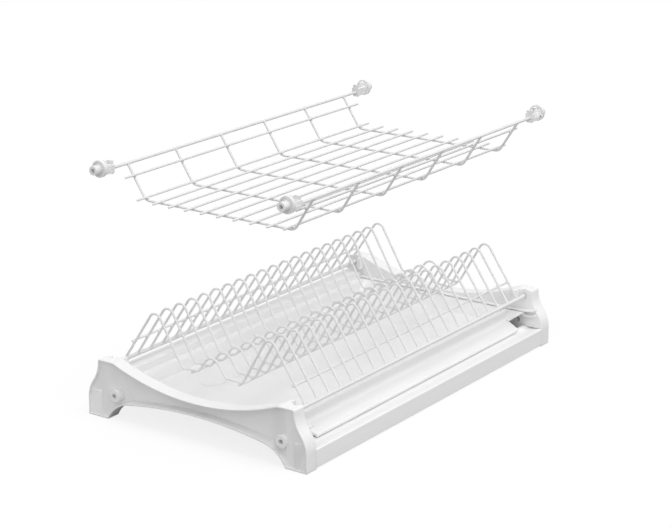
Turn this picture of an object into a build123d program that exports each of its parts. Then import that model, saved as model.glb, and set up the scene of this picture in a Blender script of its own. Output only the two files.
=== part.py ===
from build123d import *
import math
import os

# Cabinet dish drainer: a plate tier on two moulded end frames with a sliding drip tray,
# and a glass rack of welded wire that hangs between the cabinet sides above it.
# Millimetres. X runs along the width, Y from front to back, Z up.
# The origin is on the resting plane, midway between the end frames and their feet.

os.makedirs("parts", exist_ok=True)

# Whole lower unit
unit_width = 464.0
unit_depth = 280.0
half_width = unit_width / 2
half_depth = unit_depth / 2
overrun = 3.0

# End frame outline, seen along X
frame_thickness = 16.0
frame_height = 62.8
horn_inset = 14.8
horn_width = 20.2
horn_corner_radius = 2.0
horn_blend_radius = 14.0
saddle_drop = 20.4
shoulder_drop = 14.8
shoulder_inset = 13.7
shoulder_radius = 34.0
knee_drop = 18.5
knee_radius = 34.0
foot_width = 25.7
haunch_run = 30.3
haunch_height = 21.0
haunch_middle_shares = (0.41, 0.68)
arch_height = 28.3
inner_plane = half_width - frame_thickness
saddle_half = half_depth - horn_inset - horn_width
saddle_height = frame_height - saddle_drop
shoulder_height = frame_height - shoulder_drop
knee_height = shoulder_height - knee_drop

# Hollow outer side of the end frame: a rim round a thin web, shallower towards the ends
rim_wall = 1.4
recess_depth = 12.0
end_recess_depth = 2.8
end_recess_width = 26.0
recess_ramp_width = 22.0
foot_panel_depth = 1.8
foot_panel_width = 16.0
foot_panel_height = 28.0

# Bosses for the screws into the cabinet sides
front_boss_inset = 31.0
rear_boss_inset = 35.0
boss_height = 26.5
boss_diameter = 13.5
screw_hole_diameter = 5.0

# Drip tray
tray_wall = 1.8
tray_side_gap = 1.5
tray_rim_width = 4.8
tray_side_slope = 13.7
tray_rim_half = inner_plane - tray_side_gap
tray_mouth_half = tray_rim_half - tray_rim_width
tray_floor_half = tray_mouth_half - tray_side_slope
tray_front_inset = 43.0
tray_front_slope = 2.0
tray_mouth_front = half_depth - tray_front_inset
tray_floor_front = tray_mouth_front - tray_front_slope
tray_rear_inset = 32.0
tray_rear_rim_width = 10.5
tray_rear_slope = 1.0
tray_rim_rear = half_depth - tray_rear_inset
tray_mouth_rear = tray_rim_rear - tray_rear_rim_width
tray_floor_rear = tray_mouth_rear - tray_rear_slope
tray_floor_top = 26.0
tray_rim_top = 38.0
tray_corner_radius = 6.0
tray_tip_length = 20.0
tray_lip_length = 24.0
tray_lip_back_top = 26.8
tray_lip_front_top = 25.0
tray_lip_clearance = 1.1
tray_lip_edge_radius = 2.2
tray_lip_end_run = 12.5
tray_cove_radius = 5.0
tray_front_wall = 2.4
web_lean = 6.9
web_cove_angle = 45.0
bead_end_inset = 42.0
bead_width = 22.0
bead_height = 1.0
bead_depth_place = 48.0

# Runner grooves for the tray rim, between two ribs on the inner face of each end frame
rib_reach = 5.0
rib_thickness = 1.8
rib_front_gap = 7.0
rib_bend_length = 17.0
upper_rib_curl = 2.2
lower_rib_dip = 0.9
tray_clearance_above = 0.6
tray_clearance_below = 0.2
tray_stop_clearance = 0.2

# Rails between the end frames
rail_wall = 2.4
rail_edge_radius = 1.0
front_rail_bottom = 1.5
front_rail_top = 20.5
front_ledge_width = 24.0
front_ledge_drop = 6.0
rear_rail_drop = 16.3
rear_rail_top = frame_height - rear_rail_drop
rear_rail_width = 17.8
rear_rail_front_drop = 24.0
rear_rail_back_drop = 16.0
rail_tongue_length = 3.2
rail_tongue_width = 12.0
rail_tongue_clearance = 0.1

# Plate rack of bent separator wires on two rods
wire_diameter = 2.5
plate_rod_diameter = 4.5
separator_count = 21
separator_end_gap = 15.5
plate_rod_inset = 23.6
plate_rod_drop = 7.1
plate_rod_depth = half_depth - plate_rod_inset
plate_rod_height = frame_height - plate_rod_drop
peak_depth_share = 0.6237
plate_peak_rise = 64.1
plate_peak_height = plate_rod_height + plate_peak_rise
outer_trough_depth_share = 0.3316
outer_trough_rise = 6.1
outer_trough_height = plate_rod_height + outer_trough_rise
inner_trough_depth_share = 0.1478
inner_trough_rise = 7.5
inner_trough_height = plate_rod_height + inner_trough_rise
plate_bump_rise = 31.3
plate_bump_height = plate_rod_height + plate_bump_rise
plate_peak_radius = 7.5
plate_trough_radius = 5.0
plate_bump_radius = 10.0
wire_side_count = 6
wide_bend_chord_count = 2
tight_bend_chord_count = 1
weld_gap = 0.15
stringer_overhang = 2.0
rear_stringer_share = 0.33
front_stringer_share = 0.29
rear_trough_share = 0.6
front_trough_share = 0.82

# Seats for the rods at the four horns, each with a guide block beside it
guide_reach = 8.0
guide_width = 4.8
guide_gap = 7.0
guide_height = 13.6
notch_clearance = 0.35
notch_depth = 3.0
rod_end_clearance = 0.4

# Glass rack
glass_rod_diameter = 3.2
glass_forward = 2.4
glass_rod_inset = 23.4
glass_rod_depth = half_depth - glass_rod_inset
glass_rod_height = 262.6
glass_side_run = 23.1
glass_bend_depth = glass_rod_depth - glass_side_run
glass_bend_height = 227.3
glass_bend_radius = 9.0
cross_wire_count = 6
cross_wire_inset = 44.0
bottom_wire_count = 10
bottom_edge_inset = 1.7
bottom_edge_rise = 1.1
long_wire_inset = 28.0
side_wire_share = 0.66
glass_rod_end_inset = 13.0

# End fittings that clip on the rods and reach into the cabinet sides
nose_reach = 8.0
nose_diameter = 9.4
nose_rise = 3.0
collar_diameter = 17.6
collar_gap = 0.5
collar_thickness = 3.4
clip_inset = 19.0
clip_half_width = 5.0
clip_rise = 4.6
clip_drop = 3.6
tab_thickness = 2.0
tab_rise = 4.0
tab_width = 7.0
lug_length = 6.5
lug_width = 4.0
lug_rise = 5.3
rod_socket_clearance = 0.05
jaw_gap = 0.1
jaw_lip = 1.4

# Planes and lines that several pieces share
left_outer_plane = Plane.YZ.offset(-half_width)
left_inner_plane = Plane.YZ.offset(-inner_plane)
web_floor = -half_width + recess_depth
rim_underside = tray_rim_top - tray_wall


def wire_section():
    """The wire's cross-section, a hexagon with its flats on the wire's true diameter."""
    return RegularPolygon(wire_diameter / 2, wire_side_count, major_radius=False)


def bent_wire(points, radii, chords):
    """A wire in a plane square to X, its rounded bends in the given numbers of chords."""
    with BuildLine(mode=Mode.PRIVATE) as rounded_route:
        FilletPolyline(*points, radius=radii)
    stops = []
    chords_left = list(chords)
    for edge in rounded_route.wires()[0].edges():
        steps = chords_left.pop(0) if edge.geom_type == GeomType.CIRCLE else 1
        stops += [edge @ (n / steps) for n in range(steps)]
    with BuildLine(mode=Mode.PRIVATE) as route:
        Polyline(*stops, points[-1])
    path = route.wires()[0]
    with BuildPart() as wire:
        with BuildSketch(Plane(origin=path @ 0, x_dir=(1, 0, 0), z_dir=path % 0)):
            wire_section()
        sweep(path=path, transition=Transition.RIGHT)
    return wire.part


def straight_wire(half_length, depth, height):
    """A straight wire along X, centred on the unit."""
    with BuildPart() as wire:
        with BuildSketch(Plane.YZ.offset(-half_length)):
            with Locations((depth, height)):
                wire_section()
        extrude(amount=2 * half_length)
    return wire.part


def round_rod(diameter, half_length, depth, height):
    """A round rod along X, centred on the unit."""
    with BuildPart() as rod:
        with BuildSketch(Plane.YZ.offset(-half_length)):
            with Locations((depth, height)):
                Circle(diameter / 2)
        extrude(amount=2 * half_length)
    return rod.part


def along(start, end, distance):
    """The point at a distance from start on the line to end, both as (depth, height)."""
    span = math.dist(start, end)
    return tuple(a + (b - a) * distance / span for a, b in zip(start, end))


def beside(start, end, share, distance):
    """The point at a share of the line from start to end, moved square to it."""
    run, rise = end[0] - start[0], end[1] - start[1]
    span = math.hypot(run, rise)
    return (
        start[0] + run * share - rise / span * distance,
        start[1] + rise * share + run / span * distance,
    )


# End frame: the outline with its saddle, horns, shoulders, feet and arch
with BuildSketch() as frame_outline:
    with BuildLine():
        saddle = TangentArc((0, saddle_height), (saddle_half, frame_height), tangent=(1, 0))
        flank = FilletPolyline(
            (saddle_half, frame_height),
            (half_depth - horn_inset, frame_height),
            (half_depth - shoulder_inset, shoulder_height),
            (half_depth, knee_height),
            (half_depth, 0),
            (half_depth - foot_width, 0),
            radius=[horn_corner_radius, shoulder_radius, knee_radius, 0],
        )
        haunch_end = (half_depth - foot_width - haunch_run, haunch_height)
        haunch_middle = (
            half_depth - foot_width - haunch_middle_shares[0] * haunch_run,
            haunch_middle_shares[1] * haunch_height,
        )
        haunch = ThreePointArc(flank @ 1, haunch_middle, haunch_end)
        crown = TangentArc((0, arch_height), haunch_end, tangent=(1, 0))
        mirror(about=Plane.YZ)
    make_face()
    horn_corners = [
        corner
        for corner in frame_outline.vertices()
        if abs(abs(corner.X) - saddle_half) < rim_wall and corner.Y > saddle_height
    ]
    fillet(horn_corners, horn_blend_radius)

with BuildPart() as frame_recess:
    with BuildSketch(left_outer_plane):
        add(frame_outline.sketch)
        offset(amount=-rim_wall, mode=Mode.REPLACE)
    extrude(amount=recess_depth)
    for side in (-1, 1):
        # Full height: shallow at the end, then a ramp down to the web
        with BuildSketch():
            with BuildLine():
                Polyline(
                    (-half_width + end_recess_depth, side * (half_depth + overrun)),
                    (-half_width + end_recess_depth, side * (half_depth - end_recess_width)),
                    (web_floor, side * (half_depth - end_recess_width - recess_ramp_width)),
                    (web_floor + overrun, side * (half_depth - end_recess_width - recess_ramp_width)),
                    (web_floor + overrun, side * (half_depth + overrun)),
                    close=True,
                )
            make_face()
        extrude(amount=frame_height, mode=Mode.SUBTRACT)
        # Still shallower on the foot
        with BuildSketch(left_outer_plane.offset(foot_panel_depth)):
            with Locations((side * (half_depth - foot_panel_width / 2), foot_panel_height / 2)):
                Rectangle(foot_panel_width, foot_panel_height)
        extrude(amount=recess_depth, mode=Mode.SUBTRACT)

boss_places = (front_boss_inset - half_depth, half_depth - rear_boss_inset)
upper_rib_bottom = tray_rim_top + tray_clearance_above
lower_rib_top = rim_underside - tray_clearance_below
rear_rail_front = tray_rim_rear + tray_stop_clearance
rib_front = -(half_depth - rib_front_gap)
rib_bend = rib_front + rib_bend_length
notch_radius = plate_rod_diameter / 2 + notch_clearance
tongue_depths = (
    -(half_depth - front_ledge_width / 2),
    rear_rail_front + rear_rail_width / 2,
)
tongue_tops = (front_rail_top, rear_rail_top)

with BuildPart() as left_end_frame:
    with BuildSketch(left_outer_plane):
        add(frame_outline.sketch)
    extrude(amount=frame_thickness)
    add(frame_recess.part, mode=Mode.SUBTRACT)
    # Screw bosses from the web out to the plane of the rim
    with BuildSketch(left_outer_plane):
        with Locations(*[(place, boss_height) for place in boss_places]):
            Circle(boss_diameter / 2)
    extrude(amount=recess_depth)
    # Upper rib of the runner groove, turned up at the mouth
    with BuildSketch(left_inner_plane):
        with BuildLine():
            low = Line((rear_rail_front, upper_rib_bottom), (rib_bend, upper_rib_bottom))
            low_curl = TangentArc(low @ 1, (rib_front, upper_rib_bottom + upper_rib_curl), tangent=low % 1)
            high = Line(
                (rear_rail_front, upper_rib_bottom + rib_thickness),
                (rib_bend, upper_rib_bottom + rib_thickness),
            )
            high_curl = TangentArc(high @ 1, (low_curl @ 1) + (0, rib_thickness), tangent=high % 1)
            Line(low @ 0, high @ 0)
            Line(low_curl @ 1, high_curl @ 1)
        make_face()
    extrude(amount=rib_reach)
    # Lower rib, with a shallow dip that holds the tray's tip
    with BuildSketch(left_inner_plane):
        with BuildLine():
            dip_place = (rib_bend + rib_front) / 2
            low_back = lower_rib_top - rib_thickness
            top_run = Line((rear_rail_front, lower_rib_top), (rib_bend, lower_rib_top))
            top_dip = ThreePointArc(
                top_run @ 1, (dip_place, lower_rib_top - lower_rib_dip), (rib_front, lower_rib_top)
            )
            low_run = Line((rear_rail_front, low_back), (rib_bend, low_back))
            low_dip = ThreePointArc(
                low_run @ 1, (dip_place, low_back - lower_rib_dip), (rib_front, low_back)
            )
            Line(top_run @ 0, low_run @ 0)
            Line(top_dip @ 1, low_dip @ 1)
        make_face()
    extrude(amount=rib_reach)
    # Rod seats, open at the top, and a guide block inboard of each
    for side in (-1, 1):
        with BuildSketch(left_inner_plane):
            with Locations((side * (plate_rod_depth - guide_gap), frame_height)):
                Rectangle(
                    guide_width, guide_height, align=(Align.MAX if side > 0 else Align.MIN, Align.MAX)
                )
        extrude(amount=guide_reach)
        with BuildSketch(left_inner_plane):
            with Locations((side * plate_rod_depth, plate_rod_height)):
                Circle(notch_radius)
                Rectangle(
                    2 * notch_radius, frame_height, align=(Align.CENTER, Align.MIN)
                )
        extrude(amount=-notch_depth, mode=Mode.SUBTRACT)
    # Screw holes right through boss and web
    with BuildSketch(left_outer_plane.offset(-overrun)):
        with Locations(*[(place, boss_height) for place in boss_places]):
            Circle(screw_hole_diameter / 2)
    extrude(amount=frame_thickness + 2 * overrun, mode=Mode.SUBTRACT)
    # Slots for the tongues of the two rails
    with BuildSketch(left_inner_plane):
        for place, top in zip(tongue_depths, tongue_tops):
            with Locations((place, top - rail_wall / 2)):
                Rectangle(
                    rail_tongue_width + 2 * rail_tongue_clearance,
                    rail_wall + 2 * rail_tongue_clearance,
                )
    extrude(amount=-rail_tongue_length, mode=Mode.SUBTRACT)

with BuildPart() as right_end_frame:
    mirror(left_end_frame.part, about=Plane.YZ)

# Rails, with a tongue at each end
with BuildPart() as front_rail:
    with BuildSketch(left_inner_plane):
        with Locations((-half_depth, front_rail_bottom)):
            Rectangle(
                rail_wall, front_rail_top - front_rail_bottom, align=(Align.MIN, Align.MIN)
            )
        with Locations((-half_depth, front_rail_top)):
            Rectangle(front_ledge_width, rail_wall, align=(Align.MIN, Align.MAX))
        with Locations((-half_depth + front_ledge_width, front_rail_top)):
            Rectangle(rail_wall, front_ledge_drop, align=(Align.MAX, Align.MAX))
    extrude(amount=2 * inner_plane)
    front_edges = front_rail.edges().filter_by(Axis.X).group_by(Axis.Y)[0]
    fillet(front_edges.sort_by(Axis.Z)[-1], rail_edge_radius)
    with BuildSketch(left_inner_plane.offset(-rail_tongue_length)):
        with Locations((tongue_depths[0], front_rail_top - rail_wall / 2)):
            Rectangle(rail_tongue_width, rail_wall)
    extrude(amount=2 * (inner_plane + rail_tongue_length))

with BuildPart() as rear_rail:
    with BuildSketch(left_inner_plane):
        with Locations((rear_rail_front, rear_rail_top)):
            Rectangle(rear_rail_width, rail_wall, align=(Align.MIN, Align.MAX))
            Rectangle(rail_wall, rear_rail_front_drop, align=(Align.MIN, Align.MAX))
        with Locations((rear_rail_front + rear_rail_width, rear_rail_top)):
            Rectangle(rail_wall, rear_rail_back_drop, align=(Align.MAX, Align.MAX))
    extrude(amount=2 * inner_plane)
    top_edges = rear_rail.edges().filter_by(Axis.X).group_by(Axis.Z)[-1]
    fillet(top_edges, rail_edge_radius)
    with BuildSketch(left_inner_plane.offset(-rail_tongue_length)):
        with Locations((tongue_depths[1], rear_rail_top - rail_wall / 2)):
            Rectangle(rail_tongue_width, rail_wall)
    extrude(amount=2 * (inner_plane + rail_tongue_length))


def tray_level(height, half_length, front, rear, corner_radius):
    """One level of the tray's walls, as a rounded rectangle at a height."""
    with BuildSketch(Plane.XY.offset(height)) as level:
        with Locations((0, (rear - front) / 2)):
            RectangleRounded(2 * half_length, front + rear, corner_radius)
    return level.sketch


# Places on the tray's front: the apron, the lip and the leaning web in each corner
tray_front_face = tray_mouth_front + tray_front_wall
lip_front = -tray_front_face - tray_lip_length
lip_back = -tray_front_face - tray_cove_radius
lip_edge_bottom = front_rail_top + tray_lip_clearance
lip_cut_bottom = lip_edge_bottom - overrun
web_half = tray_mouth_half + tray_wall / 2
web_top = rim_underside + tray_wall / 2
web_foot = tray_lip_back_top - tray_wall / 2
web_foot_half = web_half - web_lean
web_back = -tray_front_face + tray_wall / 2
cove_middle = (tray_cove_radius + tray_wall / 2) * math.sin(math.radians(web_cove_angle))


def web_reach(height):
    """How far out from the middle a corner web stands at a height."""
    return web_half - web_lean * (web_top - height) / (web_top - web_foot)


# Front apron: down from the rim, round the cove, out along the lip and over its edge
with BuildPart() as tray_apron:
    with BuildSketch(Plane.YZ.offset(-web_half)):
        with BuildLine():
            outside = FilletPolyline(
                (-tray_front_face, tray_rim_top),
                (-tray_front_face, tray_lip_back_top),
                (lip_front, tray_lip_front_top),
                (lip_front, lip_edge_bottom),
                radius=[tray_cove_radius, tray_lip_edge_radius],
            )
            inside = FilletPolyline(
                (-tray_front_face + tray_wall, tray_rim_top),
                (-tray_front_face + tray_wall, tray_lip_back_top - tray_wall),
                (lip_front + tray_wall, tray_lip_front_top - tray_wall),
                (lip_front + tray_wall, lip_edge_bottom),
                radius=[tray_cove_radius + tray_wall, tray_lip_edge_radius - tray_wall],
            )
            Line(outside @ 0, inside @ 0)
            Line(outside @ 1, inside @ 1)
        make_face()
    extrude(amount=2 * web_half)
    for side in (-1, 1):
        # The ends lean in towards the foot of each corner web
        with BuildSketch(Plane.XZ.offset(tray_front_face - tray_wall - overrun)):
            with BuildLine():
                Polyline(
                    (side * web_reach(rim_underside), rim_underside),
                    (side * web_reach(lip_cut_bottom), lip_cut_bottom),
                    (side * (web_half + overrun), lip_cut_bottom),
                    (side * (web_half + overrun), rim_underside),
                    close=True,
                )
            make_face()
        extrude(amount=tray_lip_length + tray_wall + 2 * overrun, mode=Mode.SUBTRACT)
        # The lip draws in towards the front
        with BuildSketch(Plane.XY.offset(lip_cut_bottom)):
            with BuildLine():
                Polyline(
                    (side * web_foot_half, lip_back),
                    (side * (web_foot_half - tray_lip_end_run), lip_front),
                    (side * (web_foot_half - tray_lip_end_run), lip_front - overrun),
                    (side * (web_half + overrun), lip_front - overrun),
                    (side * (web_half + overrun), lip_back),
                    close=True,
                )
            make_face()
        extrude(amount=tray_lip_back_top - lip_cut_bottom, mode=Mode.SUBTRACT)

# Drip tray: a shallow dish with flanged rims that run in the grooves, and the front apron
with BuildPart() as drip_tray:
    outer_floor = tray_level(
        tray_floor_top - tray_wall,
        tray_floor_half + tray_wall / 2,
        tray_floor_front + tray_wall / 2,
        tray_floor_rear + tray_wall / 2,
        tray_corner_radius,
    )
    outer_rim = tray_level(
        tray_rim_top,
        tray_mouth_half + tray_wall,
        tray_front_face,
        tray_mouth_rear + tray_wall,
        tray_corner_radius,
    )
    loft(sections=[outer_floor.face(), outer_rim.face()])
    with BuildSketch(Plane.XY.offset(rim_underside)):
        with Locations((0, (tray_rim_rear - tray_front_face) / 2)):
            Rectangle(2 * tray_rim_half, tray_rim_rear + tray_front_face)
        tip_place = (tray_mouth_half + tray_rim_half) / 2
        for side in (-1, 1):
            with Locations((side * tip_place, -tray_front_face - tray_tip_length / 2)):
                Rectangle(tray_rim_half - tray_mouth_half, tray_tip_length)
    extrude(amount=tray_wall)
    add(tray_apron.part)
    # Thin web in each front corner, from inside the rim's tip down into the cove and the lip
    web_outline = [
        (web_back, web_top),
        (web_back, tray_lip_back_top + tray_cove_radius),
        (lip_back + cove_middle, tray_lip_back_top + tray_cove_radius - cove_middle),
        (lip_back, web_foot),
        (tray_wall / 2 - tray_front_face - tray_tip_length, web_top),
    ]
    for side in (-1, 1):
        corners = [Vector(side * web_reach(z), y, z) for y, z in web_outline]
        along_rim = corners[-1] - corners[0]
        web_plane = Plane(
            origin=corners[0],
            x_dir=along_rim,
            z_dir=along_rim.cross(corners[-2] - corners[0]) * -side,
        )
        with BuildSketch(web_plane):
            with BuildLine():
                Polyline(*[web_plane.to_local_coords(corner) for corner in corners], close=True)
            make_face()
        extrude(amount=tray_wall)
    # The dish itself
    floor = tray_level(
        tray_floor_top, tray_floor_half, tray_floor_front, tray_floor_rear, tray_corner_radius
    )
    mouth = tray_level(
        tray_rim_top, tray_mouth_half, tray_mouth_front, tray_mouth_rear, tray_corner_radius
    )
    loft(sections=[floor.face(), mouth.face()], mode=Mode.SUBTRACT)
    # Raised drainage bead on the floor
    with BuildSketch(Plane.XY.offset(tray_floor_top)):
        with Locations((0, bead_depth_place)):
            SlotOverall(2 * (tray_floor_half - bead_end_inset), bead_width)
    extrude(amount=bead_height)

# Plate rack wires
rod_centre = (plate_rod_depth, plate_rod_height)
peak = (plate_rod_depth * peak_depth_share, plate_peak_height)
trough_outer = (plate_rod_depth * outer_trough_depth_share, outer_trough_height)
trough_inner = (plate_rod_depth * inner_trough_depth_share, inner_trough_height)
wire_start = along(rod_centre, peak, plate_rod_diameter / 2 + weld_gap)
half_profile = [wire_start, peak, trough_outer, trough_inner]
profile = [(-y, z) for y, z in half_profile] + [(0, plate_bump_height)] + half_profile[::-1]
profile_radii = [
    plate_peak_radius,
    plate_trough_radius,
    0,
    plate_bump_radius,
    0,
    plate_trough_radius,
    plate_peak_radius,
]
profile_chords = [
    wide_bend_chord_count if radius > plate_trough_radius else tight_bend_chord_count
    for radius in profile_radii
    if radius
]
separator = bent_wire([(0, y, z) for y, z in profile], profile_radii, profile_chords)
first_separator = separator_end_gap - inner_plane
separator_pitch = -2 * first_separator / (separator_count - 1)
with BuildPart() as plate_rack_separators:
    with Locations(*[(first_separator + n * separator_pitch, 0, 0) for n in range(separator_count)]):
        add(separator)

stringer_half = -first_separator + stringer_overhang
weld_distance = wire_diameter + weld_gap
stringer_places = {
    "plate_rack_rear_outer_wire": beside(rod_centre, peak, rear_stringer_share, -weld_distance),
    "plate_rack_rear_trough_wire": beside(
        trough_outer, trough_inner, rear_trough_share, weld_distance
    ),
    "plate_rack_front_trough_wire": beside(
        (-trough_inner[0], trough_inner[1]),
        (-trough_outer[0], trough_outer[1]),
        front_trough_share,
        weld_distance,
    ),
    "plate_rack_front_outer_wire": beside(
        (-rod_centre[0], rod_centre[1]), (-peak[0], peak[1]), front_stringer_share, -weld_distance
    ),
}
plate_rod_half = inner_plane + notch_depth - rod_end_clearance

# Glass rack wires
glass_rod_front = -glass_forward - glass_rod_depth
glass_rod_rear = -glass_forward + glass_rod_depth
side_top = (glass_rod_depth, glass_rod_height)
side_bottom = (glass_bend_depth, glass_bend_height)
side_start = along(side_top, side_bottom, glass_rod_diameter / 2 + weld_gap)
cross_half = [side_start, side_bottom]
cross_profile = [(-y, z) for y, z in cross_half] + cross_half[::-1]
cross_wire = bent_wire(
    [(0, y - glass_forward, z) for y, z in cross_profile],
    [glass_bend_radius, glass_bend_radius],
    [wide_bend_chord_count, wide_bend_chord_count],
)
first_cross_wire = cross_wire_inset - half_width
cross_wire_pitch = -2 * first_cross_wire / (cross_wire_count - 1)
with BuildPart() as glass_rack_cross_wires:
    with Locations(*[(first_cross_wire + n * cross_wire_pitch, 0, 0) for n in range(cross_wire_count)]):
        add(cross_wire)

# Bottom wires lie on the cross wires, the outer two a little up their bends
long_wire_half = half_width - long_wire_inset
bottom_wire_reach = glass_bend_depth - bottom_edge_inset
bottom_pitch = 2 * bottom_wire_reach / (bottom_wire_count - 1)
bottom_wire = straight_wire(
    long_wire_half, -glass_forward - bottom_wire_reach, glass_bend_height + weld_distance
)
bottom_rises = [bottom_edge_rise] + [0] * (bottom_wire_count - 2) + [bottom_edge_rise]
with BuildPart() as glass_rack_bottom_wires:
    with Locations(*[(0, n * bottom_pitch, rise) for n, rise in enumerate(bottom_rises)]):
        add(bottom_wire)

side_place = beside(side_bottom, side_top, side_wire_share, weld_distance)
with BuildPart() as glass_rack_side_wires:
    add(straight_wire(long_wire_half, -glass_forward - side_place[0], side_place[1]))
    add(straight_wire(long_wire_half, -glass_forward + side_place[0], side_place[1]))

# End fittings, which slide inwards along the rods until the noses leave the cabinet sides
glass_rod_half = half_width - glass_rod_end_inset
nose_tip = half_width + nose_reach
nose_height = glass_rod_height + nose_rise
collar_outer = half_width - collar_gap
collar_inner = collar_outer - collar_thickness
clip_inner = half_width - clip_inset
clip_length = collar_inner - clip_inner
socket_radius = glass_rod_diameter / 2 + rod_socket_clearance


def end_fitting(rod_place):
    """A left-hand fitting: nose, collar and the upper half of the rod clip with its tab and lug."""
    with BuildPart() as fitting:
        with BuildSketch(Plane.YZ.offset(-collar_outer)):
            with Locations((rod_place, nose_height)):
                Circle(collar_diameter / 2)
        extrude(amount=collar_thickness)
        with BuildSketch(Plane.YZ.offset(-nose_tip)):
            with Locations((rod_place, nose_height)):
                Circle(nose_diameter / 2)
        extrude(amount=nose_tip - collar_outer)
        # Upper half of the clip, with the tab at its inner end and the lug against the collar
        with BuildSketch(Plane.YZ.offset(-collar_inner)):
            with Locations((rod_place, glass_rod_height)):
                Rectangle(2 * clip_half_width, clip_rise, align=(Align.CENTER, Align.MIN))
        extrude(amount=clip_length)
        with BuildSketch(Plane.YZ.offset(-clip_inner - tab_thickness)):
            with Locations((rod_place, glass_rod_height + clip_rise)):
                Rectangle(tab_width, tab_rise, align=(Align.CENTER, Align.MIN))
        extrude(amount=tab_thickness)
        with BuildSketch(Plane.YZ.offset(-collar_inner)):
            with Locations((rod_place, glass_rod_height + clip_rise)):
                Rectangle(lug_width, lug_rise, align=(Align.CENTER, Align.MIN))
        extrude(amount=lug_length)
        # Socket for the rod, as deep as the collar
        with BuildSketch(Plane.YZ.offset(-collar_inner)):
            with Locations((rod_place, glass_rod_height)):
                Circle(socket_radius)
        extrude(amount=clip_length + overrun, mode=Mode.SUBTRACT)
    return fitting.part


def clip_jaw(rod_place):
    """The lower half of the rod clip, with a lip at its inner end to prise it off by."""
    with BuildPart() as jaw:
        with BuildSketch(Plane.YZ.offset(-collar_inner + jaw_gap)):
            with Locations((rod_place, glass_rod_height)):
                Rectangle(2 * clip_half_width, clip_drop, align=(Align.CENTER, Align.MAX))
        extrude(amount=clip_length - jaw_gap)
        with BuildSketch(Plane.YZ.offset(-clip_inner - tab_thickness)):
            with Locations((rod_place, glass_rod_height)):
                Rectangle(tab_width, clip_drop + jaw_lip, align=(Align.CENTER, Align.MAX))
        extrude(amount=tab_thickness)
        with BuildSketch(Plane.YZ.offset(-clip_inner + overrun)):
            with Locations((rod_place, glass_rod_height)):
                Circle(socket_radius)
        extrude(amount=-(clip_length + 2 * overrun), mode=Mode.SUBTRACT)
    return jaw.part


pieces = {
    "left_end_frame": left_end_frame.part,
    "right_end_frame": right_end_frame.part,
    "front_rail": front_rail.part,
    "rear_rail": rear_rail.part,
    "drip_tray": drip_tray.part,
    "plate_rack_separators": plate_rack_separators.part,
    "plate_rack_front_rod": round_rod(
        plate_rod_diameter, plate_rod_half, -plate_rod_depth, plate_rod_height
    ),
    "plate_rack_rear_rod": round_rod(
        plate_rod_diameter, plate_rod_half, plate_rod_depth, plate_rod_height
    ),
    "glass_rack_front_rod": round_rod(
        glass_rod_diameter, glass_rod_half, glass_rod_front, glass_rod_height
    ),
    "glass_rack_rear_rod": round_rod(
        glass_rod_diameter, glass_rod_half, glass_rod_rear, glass_rod_height
    ),
    "glass_rack_cross_wires": glass_rack_cross_wires.part,
    "glass_rack_bottom_wires": glass_rack_bottom_wires.part,
    "glass_rack_side_wires": glass_rack_side_wires.part,
}
for name, (depth, height) in stringer_places.items():
    pieces[name] = straight_wire(stringer_half, depth, height)
for place, rod_place in (("front", glass_rod_front), ("rear", glass_rod_rear)):
    for role, build in (("fitting", end_fitting), ("clip_jaw", clip_jaw)):
        left_piece = build(rod_place)
        pieces[f"left_{place}_{role}"] = left_piece
        pieces[f"right_{place}_{role}"] = left_piece.mirror(Plane.YZ)

for name, piece in pieces.items():
    piece.label = name
    export_step(piece, f"parts/{name}.step")
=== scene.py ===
"""Looks of the cabinet dish drainer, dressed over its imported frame.

+X runs along the width, +Y from front to back and +Z up. Meshes, the camera and the floor are in
metres. The sizes of the object's own pieces and finishes are in millimetres, and MM turns them
to metres.
"""

import logging
import math
from dataclasses import dataclass, field
from enum import Enum
from typing import Sequence

import bmesh
import bpy
import numpy as np
from mathutils import Matrix, Vector


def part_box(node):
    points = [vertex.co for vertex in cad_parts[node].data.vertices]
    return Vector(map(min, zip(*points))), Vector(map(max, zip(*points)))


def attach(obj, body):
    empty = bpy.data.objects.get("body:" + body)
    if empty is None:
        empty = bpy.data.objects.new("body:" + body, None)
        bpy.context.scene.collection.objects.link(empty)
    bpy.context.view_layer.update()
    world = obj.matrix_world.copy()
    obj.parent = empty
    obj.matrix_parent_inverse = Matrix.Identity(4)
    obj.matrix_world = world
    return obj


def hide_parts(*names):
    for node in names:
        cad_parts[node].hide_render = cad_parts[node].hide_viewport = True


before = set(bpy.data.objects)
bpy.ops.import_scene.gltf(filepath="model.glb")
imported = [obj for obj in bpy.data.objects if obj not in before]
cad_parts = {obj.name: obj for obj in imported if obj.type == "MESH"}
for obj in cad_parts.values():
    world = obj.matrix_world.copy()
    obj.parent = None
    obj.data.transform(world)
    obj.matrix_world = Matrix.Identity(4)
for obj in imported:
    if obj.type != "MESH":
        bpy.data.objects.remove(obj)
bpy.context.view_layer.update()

log = logging.getLogger("dish_drainer")
logging.basicConfig(level=logging.INFO, format="%(name)s: %(message)s")

MM = 0.001
# The photograph's width in pixels, which the focal length goes with
PHOTO_WIDTH = 671
X_AXIS, Y_AXIS, Z_AXIS = (1.0, 0.0, 0.0), (0.0, 1.0, 0.0), (0.0, 0.0, 1.0)

# Corners nearer than this are one, in metres, and faces flatter than this angle are one face
MERGE_DISTANCE = 2e-6
FLAT_ANGLE = math.radians(0.6)
# An edge that turns by more than this is sharp, and is rolled over
SHARP_ANGLE = math.radians(32)
ROLL_FLATS = 2
# The largest turn between two points of a wire's bend, in degrees
BEND_STEP = 7.0
# Rings of a domed wire end, the first at this angle off its tip, in radians
DOME_START, DOME_RINGS = 0.25, 5
# Rings of a flared wire end, in millimetres from its tip
FLARE_RINGS = (0.0, 0.5, 1.1, 2.0, 3.4)
# The route's own points start further in than the last ring of an end, by this factor
END_MARGIN = 1.02
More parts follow.
